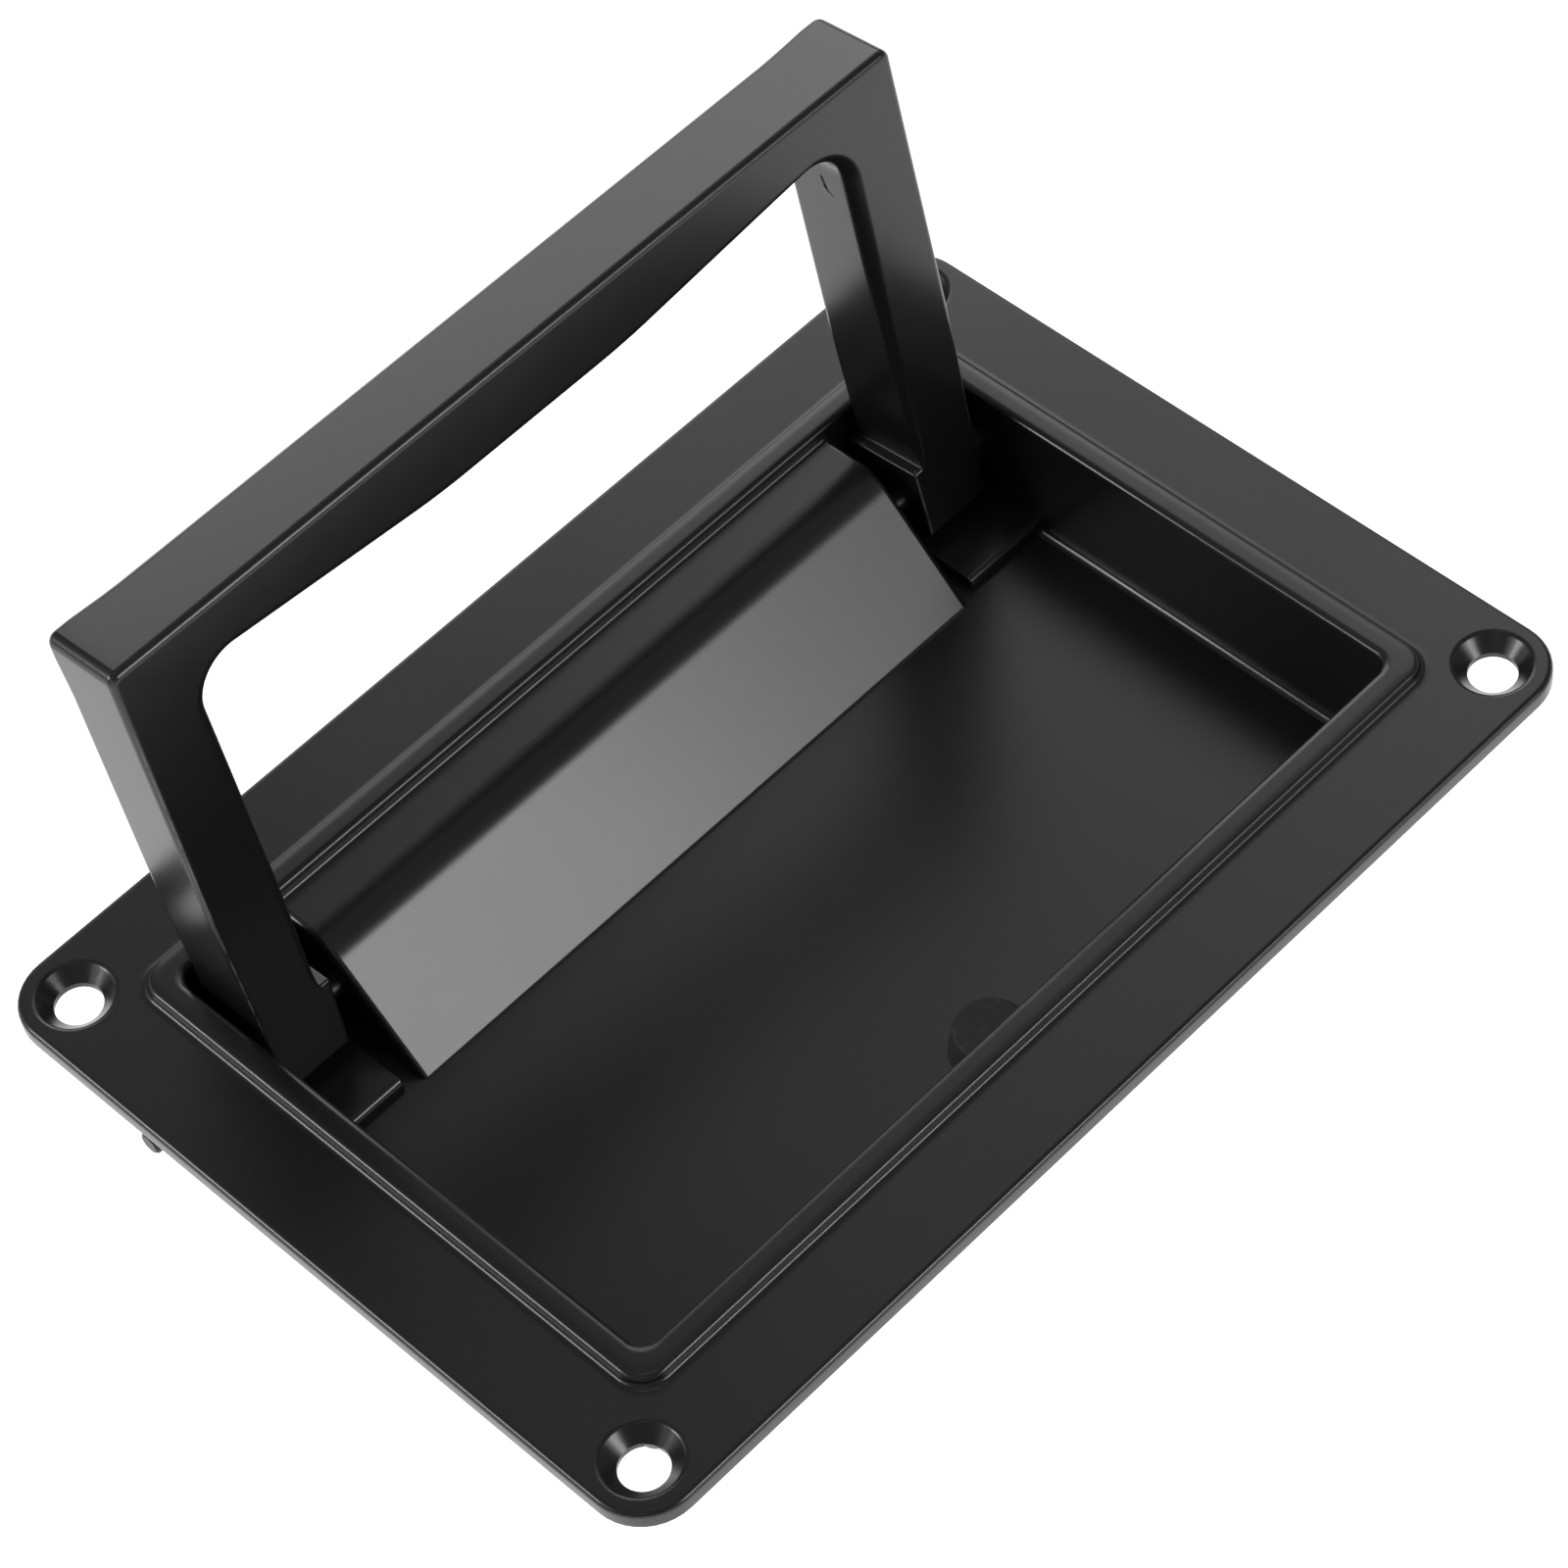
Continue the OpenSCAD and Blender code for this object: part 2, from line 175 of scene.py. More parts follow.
# %% [markdown]
# The rim has a narrow flat land on top. Outside it the surface tilts a little, rolls over into a steep
# side, and runs out through a hollow into the flange. A walk that turns its tilt a little at each step
# draws such a line without any corner. How long the steep stretch is follows from the height of the
# rim. The far sides of the rim hide their foot from the camera, and the near ones show it.

# %% The rim's outer side
FLANGE_TOP = FLANGE["thick"]
LAND, CROWN_R, RIM_EDGE_R, FOOT_R, RUN_OUT_R = 0.68, 10.0, 0.65, 0.65, 4.0
CROWN_TILT, STEEPEST, RUN_OUT_TILT = 7, 76, 8


def cosine(degrees):
    return math.cos(math.radians(degrees))


# Each turn is (radius, tilt at its start, tilt at its end, steps).
turns = ((CROWN_R, 0, CROWN_TILT, 3), (RIM_EDGE_R, CROWN_TILT, STEEPEST, 9),
         (FOOT_R, STEEPEST, RUN_OUT_TILT, 9), (RUN_OUT_R, RUN_OUT_TILT, 0, 3))
fallen = sum(radius * abs(cosine(tilt1) - cosine(tilt0)) for radius, tilt0, tilt1, steps in turns)
straight = (top - FLANGE_TOP - fallen) / math.sin(math.radians(STEEPEST))
out, z = LIP_R + LAND, top
for radius, tilt0, tilt1, steps in turns:
    if tilt0 == STEEPEST:
        out += straight * cosine(STEEPEST)
        z -= straight * math.sin(math.radians(STEEPEST))
        rings.append(pocket_ring(out, z, RIM["corner"] + CORNER_GROWTH * out))
    for i in range(steps):
        t0, t1 = (math.radians(tilt0 + (tilt1 - tilt0) * k / steps) for k in (i, i + 1))
        out += radius * abs(math.sin(t1) - math.sin(t0))
        z -= radius * abs(math.cos(t1) - math.cos(t0))
        rings.append(pocket_ring(out, z, RIM["corner"] + CORNER_GROWTH * out))
print("straight stretch", round(straight, 2), "foot at", round(out, 2), "height", round(z, 3))

# %% The flange's edge and the pan underneath
EDGE_R, LOWER_EDGE_R, WALL, FLOOR_THICK = 0.7, 0.25, 2.0, 1.8
PAN_R, PAN_TOP_FILLET, PAN_BOTTOM_CORNER = FLOOR_FILLET + WALL, 0.5, 0.3
for c, s in quarter(7):
    rings.append(flange_ring(-EDGE_R * (1 - s), FLANGE_TOP - EDGE_R * (1 - c)))
for c, s in quarter(3):
    rings.append(flange_ring(-LOWER_EDGE_R * (1 - c), LOWER_EDGE_R * (1 - s)))
for c, s in quarter(4):
    spread = PAN_TOP_FILLET * (1 - s)
    rings.append(pocket_ring(WALL + spread, -PAN_TOP_FILLET * (1 - c), PAN_R + spread))
for c, s in quarter(8):
    height = floor - FLOOR_THICK + PAN_R * (1 - s)
    corner = PAN_R - (PAN_R - PAN_BOTTOM_CORNER) * (1 - c)
    rings.append(pocket_ring(WALL - draft - PAN_R * (1 - c), height, corner))
body = solid("tray_casting", *skin(rings))
print("tray body:", len(body.data.vertices), "vertices")

# %% [markdown]
# ## Bars with rolled ends
#
# The hump that hides the pin, the low platforms under the hubs and the bosses outside the walls are
# all one section pulled along X, with their free ends rolled over. A section is a list of points in
# the YZ plane. Rolling an end means repeating the section a little smaller, so a function that moves a
# closed line inwards along its own normals does the work.

# %% Sections and rolled bars
MITRE_LIMIT, END_STEPS = 0.3, 5


def arc(centre, radius, start, end, steps):
    """Points of an arc in a plane, in degrees, from start to end."""
    angles = [math.radians(start + (end - start) * i / steps) for i in range(steps + 1)]
    return [(centre[0] + radius * math.cos(a), centre[1] + radius * math.sin(a)) for a in angles]


def inward(section):
    """For each point of an anticlockwise section, how it moves when the section shrinks by one."""
    moves = []
    for i, (y, z) in enumerate(section):
        before, after = section[i - 1], section[(i + 1) % len(section)]
        d0 = Vector((y - before[0], z - before[1])).normalized()
        d1 = Vector((after[0] - y, after[1] - z)).normalized()
        n0, n1 = Vector((-d0.y, d0.x)), Vector((-d1.y, d1.x))
        moves.append((n0 + n1) / max(MITRE_LIMIT, 1 + n0.dot(n1)))
    return moves


def rolled_bar(name, section, x0, x1, roll0=0.0, roll1=0.0, moves=None):
    """Bar along X from x0 to x1; roll0 and roll1 are the radii over its two ends."""
    moves = moves or inward(section)
    rows = [(x0 + roll0 * (1 - c), roll0 * (1 - s)) for c, s in quarter(END_STEPS)] if roll0 else [(x0, 0)]
    rows += [(x1 - roll1 * (1 - s), roll1 * (1 - c)) for c, s in quarter(END_STEPS)] if roll1 else [(x1, 0)]
    return solid(name, *skin([[(x, y + by * m[0], z + by * m[1]) for (y, z), m in zip(section, moves)]
                              for x, by in rows]))


print("a square's corners move by", [tuple(m) for m in inward([(0, 0), (9, 0), (9, 9), (0, 9)])])

# %% [markdown]
# ## Hump, platforms, bosses and collars
#
# The hump is a long cover cast over the pin. Its front slope is the brightest face in the picture, and
# a nose of about 7 mm radius joins it to the flat top. Where it meets the floor and the rear rim the
# casting has small fillets, so its section includes them. The section starts inside the wall and ends
# under the floor, and only its upper side shrinks at the rolled ends. The platforms are low steps that
# leave room for the round ends of the hubs. The bosses outside the walls carry the pin's ends, and the
# collars inside them keep the bail in the middle.

# %% Section of the hump
REAR_Y = POCKET["centre"][1] + POCKET["half_y"]
FRONT_Y = POCKET["centre"][1] - POCKET["half_y"]
HUMP = {"half_x": 45.2, "top": 2.1, "foot": REAR_Y - 21.7, "slope": 48.5, "nose": 7.3, "end_r": 0.9}
HUMP_FILLET = 0.75
slope = math.radians(HUMP["slope"])
nose_y = HUMP["foot"] + (HUMP["top"] - floor) / math.tan(slope) + HUMP["nose"] * math.tan(slope / 2)
foot_y = HUMP["foot"] - HUMP_FILLET * math.tan(slope / 2)
wall_y = REAR_Y - draft * (top - HUMP["top"]) / (top - floor)
INSIDE_Y, INSIDE_Z, HUMP_HEAD = REAR_Y + 0.1, floor - 0.6, HUMP["top"] + 1.0
hump_section = [(INSIDE_Y, INSIDE_Z), (INSIDE_Y, HUMP_HEAD), (wall_y + 0.05, HUMP_HEAD)]
hump_section += arc((wall_y - HUMP_FILLET, HUMP["top"] + HUMP_FILLET), HUMP_FILLET, -6, -90, 4)
hump_section += arc((nose_y, HUMP["top"] - HUMP["nose"]), HUMP["nose"], 90, 90 + HUMP["slope"], 10)
hump_section += arc((foot_y, floor + HUMP_FILLET), HUMP_FILLET, HUMP["slope"] - 90, -84, 4)
hump_section += [(foot_y, INSIDE_Z)]
hump_moves = inward(hump_section)
slope_in = (math.sin(slope), -math.cos(slope))
# Three points inside the wall stay, the upper fillet sinks, and the lower one follows the slope.
hump_moves[:8] = [(0, 0)] * 3 + [(0, -1)] * 5
hump_moves[-6:] = [slope_in] * 5 + [(slope_in[0], 0)]
hump_ends = (-HUMP["half_x"], HUMP["half_x"], HUMP["end_r"], HUMP["end_r"])
hump = rolled_bar("hump", hump_section, *hump_ends, hump_moves)
print("hump foot at y", round(HUMP["foot"], 2), "nose centre at y", round(nose_y, 2))

# %% Platforms, bosses and collars
PLATFORM = {"z": -11.25, "y": REAR_Y - 20.54, "x": 47.1, "r": 0.9, "right": 59.6, "left": -59.0, "end_r": 0.3}
BOSS = {"r": 4.0, "top": 1.2, "inner": 60.8, "outer": 69.7, "end_r": 0.4}
COLLAR = {"r": 3.2, "inner": 58.25, "end_r": 0.2}
root_y, root_z = REAR_Y - 0.5, floor - 0.4
platform_section = [(root_y, root_z), (root_y, PLATFORM["z"])]
edge_centre = (PLATFORM["y"] + PLATFORM["r"], PLATFORM["z"] - PLATFORM["r"])
platform_section += arc(edge_centre, PLATFORM["r"], 90, 180, 7)
platform_section += [(PLATFORM["y"], root_z)]
boss_section = arc((AXIS_Y, AXIS_Z), BOSS["r"], 180, 360, 24)
boss_section += [(AXIS_Y + BOSS["r"], BOSS["top"]), (AXIS_Y - BOSS["r"], BOSS["top"])]
collar_section = arc((AXIS_Y, AXIS_Z), COLLAR["r"], 0, 345, 23)
added = [
    hump,
    rolled_bar("platform_right", platform_section, PLATFORM["x"], PLATFORM["right"], PLATFORM["end_r"]),
    rolled_bar("platform_left", platform_section, PLATFORM["left"], -PLATFORM["x"], 0, PLATFORM["end_r"]),
    rolled_bar("boss_right", boss_section, BOSS["inner"], BOSS["outer"], 0, BOSS["end_r"]),
    rolled_bar("boss_left", boss_section, -BOSS["outer"], -BOSS["inner"], BOSS["end_r"]),
    rolled_bar("collar_right", collar_section, COLLAR["inner"], BOSS["inner"], COLLAR["end_r"]),
    rolled_bar("collar_left", collar_section, -BOSS["inner"], -COLLAR["inner"], 0, COLLAR["end_r"]),
]
print("pieces to join to the tray:", [piece.name for piece in added])

# %% [markdown]
# ## Cutting the tray
#
# The screw holes are countersunk, and the coating has rounded the lip of each countersink. A cutter is
# turned like a part on a lathe: half of its outline goes once round. The hollow under the hump, the
# pin's bore and the seat of the rubber pad are cut in the same way that a toolmaker would core them.

# %% Cutters
OFF_AXIS = 0.31


def turned(name, profile, at, sides=48):
    """Round solid about an upright line; the profile is (radius, z) from the bottom up."""
    # The points stand a little off the axes, so that no edge of a cutter falls on one of the casting.
    angles = [2 * math.pi * (i + OFF_AXIS) / sides for i in range(sides)]
    rows = [[(at[0] + r * math.cos(a), at[1] + r * math.sin(a), z) for a in angles] for r, z in profile]
    return solid(name, *skin(rows))


HOLE_X, HOLE_Y, HOLE_R, SINK_R, LIP = 68.25, 45.8, 2.9, 4.7, 0.85
HOLLOW = {"half_x": 43.2, "front": 16.63, "rear": 37.16, "low": -15.7, "high": 0.1,
          "nose_y": 31.2, "nose_r": 5.0}
BORE_R, BORE_STEPS, BORE_REACH = 1.52, 23, 80.0
PAD = {"foot_r": 5.1, "top_r": 4.2, "top": -9.1, "roll": 0.5, "seat": 0.4, "y": FRONT_Y + 7.3}
sink_edge = SINK_R + LIP * math.tan(math.radians(22.5))
sink = [(HOLE_R, -1.0), (HOLE_R, FLANGE_TOP - SINK_R + HOLE_R)]
sink += arc((sink_edge, FLANGE_TOP - LIP), LIP, 135, 93, 8) + [(sink_edge, FLANGE_TOP + 1.5)]
hollow_section = [(HOLLOW["front"], HOLLOW["low"]), (HOLLOW["rear"], HOLLOW["low"])]
hollow_section += [(HOLLOW["rear"], HOLLOW["high"]), (HOLLOW["nose_y"] - 0.01, HOLLOW["high"])]
hollow_section += arc((HOLLOW["nose_y"], HOLLOW["high"] - HOLLOW["nose_r"]), HOLLOW["nose_r"], 95, 138, 5)
bore_section = arc((AXIS_Y, AXIS_Z), BORE_R, 0, 345, BORE_STEPS)
seat = [(PAD["foot_r"], floor - PAD["seat"]), (PAD["foot_r"], floor + 0.5)]
cutters = [turned("hole_cutter", sink, (sx * HOLE_X, sy * HOLE_Y)) for sx in (-1, 1) for sy in (-1, 1)]
cutters += [
    rolled_bar("hollow_cutter", hollow_section, -HOLLOW["half_x"], HOLLOW["half_x"]),
    rolled_bar("bore_cutter", bore_section, -BORE_REACH, BORE_REACH),
    turned("seat_cutter", seat, (0, PAD["y"])),
]
print("cutters:", len(cutters))

# %% Join and cut
CREASE_ANGLE = 33


def carve(piece, joined, cut):
    """Joins and cuts exact solids, keeps the result as the piece's mesh and removes the tools."""
    for operation, tools in (("UNION", joined), ("DIFFERENCE", cut)):
        for tool in tools:
            step = piece.modifiers.new(tool.name, "BOOLEAN")
            step.operation, step.object, step.solver = operation, tool, "EXACT"
    bpy.context.view_layer.update()
    result = bpy.data.meshes.new_from_object(piece.evaluated_get(bpy.context.evaluated_depsgraph_get()))
    piece.modifiers.clear()
    piece.data = result
    for tool in joined + cut:
        bpy.data.objects.remove(tool)
    return piece


def soften(piece):
    """Smooth shading across rolls, crisp at corners, with flats keeping their own normals."""
    piece.data.shade_smooth()
    piece.data.set_sharp_from_angle(angle=math.radians(CREASE_ANGLE))
    even = piece.modifiers.new("even_normals", "WEIGHTED_NORMAL")
    even.keep_sharp, even.weight = True, 80


tray = carve(body, added, cutters)
print("tray before its flaws:", len(tray.data.polygons), "faces")

# %% [markdown]
# ## Small flaws
#
# A real casting is never perfect, and its flaws tell that it is one. This tray has a flap of flash left
# in one screw hole, nibs in the coat along the rim, and a chip on the flange's edge. The bail has a
# parting mark high on the inner face of its right leg. They are tiny, but they are shapes, so they
# are modelled: lumps and slivers are joined on, and dents are cut. A nib has to sit in the surface
# that carries it, so the nearest point of the casting is looked up for each.

# %% Lumps, slivers and dents
SLIVER_SIDES = 8


def sliver(name, path, radii):
    """Closed tube along a path with a radius at each point; a short one is a lump."""
    along = (Vector(path[-1]) - Vector(path[0])).normalized()
    side = along.orthogonal().normalized()
    up = along.cross(side)
    angles = [2 * math.pi * i / SLIVER_SIDES for i in range(SLIVER_SIDES)]
    rows = [[tuple(Vector(p) + r * (side * math.cos(a) + up * math.sin(a))) for a in angles]
            for p, r in zip(path, radii)]
    return solid(name, *skin(rows))


def lump(name, at, r):
    """Nearly round solid from a sliver whose radii follow a ball."""
    shares = (-0.95, -0.7, -0.25, 0.25, 0.7, 0.95)
    radii = [r * math.sqrt(1 - t * t) for t in shares]
    return sliver(name, [(at[0] + r * t, at[1], at[2]) for t in shares], radii)


def nibs_on(piece, spots):
    """A lump for each (x, y, z, radius), sunk by a third of its radius in the nearest surface."""
    corners = [vertex.co / MM for vertex in piece.data.vertices]
    surface = BVHTree.FromPolygons(corners, [face.vertices for face in piece.data.polygons])
    nibs = []
    for x, y, z, r in spots:
        at, normal = surface.find_nearest(Vector((x, y, z)))[:2]
        nibs.append(lump("nib", at - normal * r / 3, r))
    return nibs


print("sides of a sliver:", SLIVER_SIDES)

# %% Nibs, flash and chip
LIP_NIBS = [(-48.9, -37.45, 3.72, 0.13), (-50.7, -37.4, 3.7, 0.11),
            (-51.6, -37.42, 3.72, 0.08), (-54.6, -37.4, 3.7, 0.12)]
RIM_EDGE_NIBS = [(-59.4, -40.05, 3.62, 0.13), (-58.6, -40.1, 3.58, 0.09), (-58.0, -40.15, 3.55, 0.14),
                 (-56.9, -40.1, 3.6, 0.08), (-62.3, -36.7, 3.5, 0.11), (-62.25, -35.2, 3.55, 0.08)]
LONE_NIBS = [(61.66, -28.07, 3.84, 0.12), (-11.7, 32.2, 2.08, 0.09)]
# The flap's points are (angle, radius) about its screw hole: first in the wall, then its ragged edge.
FLASH_ROOT = [(a, HOLE_R + 0.15) for a in range(6, 49, 6)]
FLASH_EDGE = [(46, 2.78), (41, 2.56), (34, 2.43), (27, 2.4), (19, 2.46), (13, 2.6), (8, 2.8)]
FLASH_LOW, FLASH_HIGH = 0.5, 0.64
CHIP_AT, CHIP_R = (63.8, -52.75, 2.55), 0.42
flap = [(r * math.cos(math.radians(a)) - HOLE_X, r * math.sin(math.radians(a)) - HOLE_Y)
        for a, r in FLASH_ROOT + FLASH_EDGE]
flash = solid("flash", *skin([[(x, y, z) for x, y in flap] for z in (FLASH_LOW, FLASH_HIGH)]))
nibs = nibs_on(tray, LIP_NIBS + RIM_EDGE_NIBS + LONE_NIBS)
carve(tray, [flash] + nibs, [lump("chip", CHIP_AT, CHIP_R)])
soften(tray)
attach(tray, "tray")
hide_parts("tray")
print("tray casting:", len(tray.data.polygons), "faces")

# %% [markdown]
# ## The bail
#
# The bail is one casting too: a hub, a leg, the grip, the other leg and the other hub, as one bent bar.
# It could be built from boxes with bevelled edges, but its section changes along the way and
# its two hubs have shoulders. So it is a row of slices, as a boat has ribs. Each slice has an outer and
# an inner point, the directions in which the surface faces there, and the radius of each long edge.

# %% Slices of a bent bar
EDGE_STEPS = 6


def slice_ring(outer, inner, front, rear, edges):
    """Ring of a slice. outer and inner are (x, u, nx, nu); edges are the four rolls' radii."""
    ring = []
    corners = [(outer, front, -1, edges[0]), (inner, front, -1, edges[1]),
               (inner, rear, 1, edges[2]), (outer, rear, 1, edges[3])]
    for number, ((x, u, nx, nu), y, side, r) in enumerate(corners):
        from_side = number in (0, 2)
        for c, s in quarter(EDGE_STEPS):
            along, across = (c, s) if from_side else (s, c)
            rolled_y = y - side * r + side * r * across
            ring.append((x - nx * r + nx * r * along, rolled_y, u - nu * r + nu * r * along))
    return ring


BAIL = {"half_x": 58.35, "leg": 9.66, "front": -4.0, "rear": 7.5, "reach": 65.2}
LEG_IN = BAIL["half_x"] - BAIL["leg"]
print("legs' inner faces at x", round(LEG_IN, 2))

# %% [markdown]
# A hub is the round end that turns on the pin. It is wider than its leg on the inside, which makes a
# small shelf that catches the light, its front is cut flat to clear the pocket's wall, and both its
# sides taper a little, as a casting must to leave its mould.

# %% Slices of a hub
HUB_R, HUB_IN, HUB_TAPER, SHELF_U = 5.95, 47.65, 0.4, 6.1
TAPER_FROM, TAPER, LEG_TAPER, CREASE_R = 23.0, 0.0265, 0.025, 0.3
HUB_STEPS, HUB_START, HUB_EDGE_R, HEEL_U, HEEL_EDGE_R = 24, 6, 0.45, 1.5, 0.6


def outer_x(u):
    return BAIL["half_x"] - TAPER * max(0.0, TAPER_FROM - u)


def leg_inner_x(u):
    return LEG_IN + LEG_TAPER * max(0.0, TAPER_FROM - u)


def hub_inner_x(u):
    return HUB_IN + HUB_TAPER * (SHELF_U - u) / (SHELF_U + HUB_R)


slices = []
for i in range(HUB_STEPS + 1):
    a = math.radians(HUB_START + (90 - HUB_START) * i / HUB_STEPS)
    u, half = -HUB_R * math.cos(a), HUB_R * math.sin(a)
    front, rear = -min(-BAIL["front"], half), half
    r = min(HUB_EDGE_R, HUB_EDGE_R * (rear - front))
    slices.append(((outer_x(u), u, 1, 0), (hub_inner_x(u), u, -1, 0), front, rear, (r, r, r, r)))
for u in (0.7, HEEL_U):
    rear = HUB_R + (BAIL["rear"] - HUB_R) * u / HEEL_U
    edges = (HUB_EDGE_R, HUB_EDGE_R, HUB_EDGE_R, HEEL_EDGE_R)
    slices.append(((outer_x(u), u, 1, 0), (hub_inner_x(u), u, -1, 0), BAIL["front"], rear, edges))
print("slices in the round of a hub:", len(slices))

# %% Slices of the shelf
SHELF_EDGES, CREASE_EDGES = (0.5, 0.4, 0.4, 1.2), (0.55, 0.4, 0.4, 1.6)
SHELF_OUTER_U, CREASE_OUTER_U, OUTER_RISE = 4.0, 6.0, 1.5
for c, s in quarter(4):
    u = SHELF_U - CREASE_R * (1 - s)
    outer = (outer_x(u), SHELF_OUTER_U + OUTER_RISE * s, 1, 0)
    inner = (hub_inner_x(SHELF_U) + CREASE_R * (1 - c), u, -c, s)
    slices.append((outer, inner, BAIL["front"], BAIL["rear"], SHELF_EDGES))
for c, s in quarter(4):
    outer = (outer_x(SHELF_U), CREASE_OUTER_U + OUTER_RISE * s, 1, 0)
    inner = (leg_inner_x(SHELF_U) - CREASE_R * (1 - s), SHELF_U + CREASE_R * (1 - c), -s, c)
    slices.append((outer, inner, BAIL["front"], BAIL["rear"], CREASE_EDGES))
print("slices in a hub with its shelf:", len(slices))

# %% [markdown]
# The grip is deepest in the middle, where the fingers pull, and tapers towards the legs. Its underside
# is straight for 28 mm, then slopes. The corner inside the opening has a radius of about 5 mm, while
# the corner outside is nearly sharp. Each slice there joins a point of the tight outer corner with
# a point of the wide inner one.

# %% Slices of the leg, corner and grip
GRIP_DEPTH, GRIP_END, GRIP_FLAT, INNER_R, OUTER_R, BLEND_R = 10.56, 7.3, 14.0, 5.2, 1.4, 85.0
fall = math.atan((GRIP_DEPTH - GRIP_END) / (LEG_IN - GRIP_FLAT))


def underside(x):
    """(u, slope angle) of the grip's underside at x, with a wide blend round the kink."""
    low, reach = BAIL["reach"] - GRIP_DEPTH, BLEND_R * math.tan(fall / 2)
    start = GRIP_FLAT - reach
    if x <= start:
        return low, 0.0
    if x >= GRIP_FLAT + reach * math.cos(fall):
        return low + math.tan(fall) * (x - GRIP_FLAT), fall
    a = math.asin((x - start) / BLEND_R)
    return low + BLEND_R * (1 - math.cos(a)), a


def blend(a, b, t):
    return a + (b - a) * t


LEG_EDGES, HIGH_EDGES, GRIP_EDGES = (0.7, 1.0, 0.9, 2.0), (0.9, 1.9, 1.35, 1.9), (1.0, 1.4, 1.35, 1.9)
LEG_STEPS, LEG_START_U, LEG_END_GAP = 8, 8.6, 0.6
corner_u = underside(LEG_IN)[0] - INNER_R * math.tan(math.radians(45) + fall / 2)
for i in range(LEG_STEPS + 1):
    t = i / LEG_STEPS
    u = blend(LEG_START_U, corner_u - LEG_END_GAP, t)
    edges = tuple(blend(a, b, t) for a, b in zip(LEG_EDGES, HIGH_EDGES))
    slices.append(((outer_x(u), u, 1, 0), (leg_inner_x(u), u, -1, 0), BAIL["front"], BAIL["rear"], edges))
print("corner of the opening starts at u", round(corner_u, 2))

# %% [markdown]
# The sharp rear edge of the outer corner is rolled less than the edges beside it, or the roll would
# be larger than the corner itself.

# %% The corner and the grip
SIDE_STEPS, TURN_STEPS, GRIP_STEPS = 6, 8, 40
SHARP_EDGE_R, SHARP_GROWTH, SHARP_STEPS = 1.25, 0.25, 5
centre = (LEG_IN - INNER_R, corner_u)
sweep, steps = math.pi / 2 + fall, 2 * SIDE_STEPS + TURN_STEPS
for i in range(steps + 1):
    a = sweep * i / steps
    inner = (centre[0] + INNER_R * math.cos(a), centre[1] + INNER_R * math.sin(a), -math.cos(a), -math.sin(a))
    side_u, top_x = BAIL["reach"] - OUTER_R, BAIL["half_x"] - OUTER_R
    if i <= SIDE_STEPS:
        outer = (BAIL["half_x"], blend(corner_u, side_u, i / SIDE_STEPS), 1, 0)
    elif i < SIDE_STEPS + TURN_STEPS:
        b = math.pi / 2 * (i - SIDE_STEPS) / TURN_STEPS
        outer = (top_x + OUTER_R * math.cos(b), side_u + OUTER_R * math.sin(b), math.cos(b), math.sin(b))
    else:
        outer = (blend(top_x, inner[0], (i - SIDE_STEPS - TURN_STEPS) / SIDE_STEPS), BAIL["reach"], 0, 1)
    edges = [blend(a, b, i / steps) for a, b in zip(HIGH_EDGES, GRIP_EDGES)]
    past_sharp = max(0, abs(i - steps // 2) - SHARP_STEPS)
    edges[3] = min(edges[3], SHARP_EDGE_R + SHARP_GROWTH * past_sharp)
    slices.append((outer, inner, BAIL["front"], BAIL["rear"], edges))
grip_start = centre[0] + INNER_R * math.cos(sweep)
for i in range(1, GRIP_STEPS + 1):
    x = grip_start * (1 - i / GRIP_STEPS)
    u, a = underside(x)
    inner = (x, u, math.sin(a), -math.cos(a))
    slices.append(((x, BAIL["reach"], 0, 1), inner, BAIL["front"], BAIL["rear"], GRIP_EDGES))
print("slices in half the bail:", len(slices))

# %% [markdown]
# The left half is the right half in a mirror, walked backwards. The finished bar is turned back by the
# lean of the raised bail, about the pin, and the bore is cut last.

# %% The whole bail
def mirrored(station):
    """The same slice on the other side of the middle."""
    outer, inner, front, rear, edges = station
    other_outer = (-outer[0], outer[1], -outer[2], outer[3])
    other_inner = (-inner[0], inner[1], -inner[2], inner[3])
    return other_outer, other_inner, front, rear, edges


def leaned(point):
    """Where a point (x, y, u) of the upright bail lies when the bail leans back on its stop."""
    x, y, u = point
    back = y * math.cos(LEAN) + u * math.sin(LEAN)
    up = u * math.cos(LEAN) - y * math.sin(LEAN)
    return (x, AXIS_Y + back, AXIS_Z + up)


whole = slices + [mirrored(station) for station in reversed(slices[:-1])]
bail = solid("bail_casting", *skin([[leaned(p) for p in slice_ring(*station)] for station in whole]))
print("slices in the whole bail:", len(whole))

# %% Bore, nibs and parting mark
BAIL_BORE_R, BAIL_BORE_REACH = 1.55, 70.0
MARK = [(48.6, 35.75, 45.8), (48.62, 35.5, 45.0), (48.66, 35.2, 44.1),
        (48.62, 34.8, 43.5), (48.6, 33.9, 43.0), (48.58, 32.2, 42.7)]
MARK_RADII = (0.06, 0.3, 0.34, 0.2, 0.13, 0.04)
CORNER_NIB, SHELF_NIB = (-57.9, 32.2, 59.65, 0.25), (48.3, 26.1, 1.4, 0.25)
bail_bore = arc((AXIS_Y, AXIS_Z), BAIL_BORE_R, 0, 345, BORE_STEPS)
carve(bail, nibs_on(bail, [CORNER_NIB, SHELF_NIB]), [
    rolled_bar("bail_bore", bail_bore, -BAIL_BORE_REACH, BAIL_BORE_REACH),
    sliver("parting_mark", MARK, MARK_RADII),
])
soften(bail)
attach(bail, "bail")
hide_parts("bail")
print("bail casting:", len(bail.data.polygons), "faces")

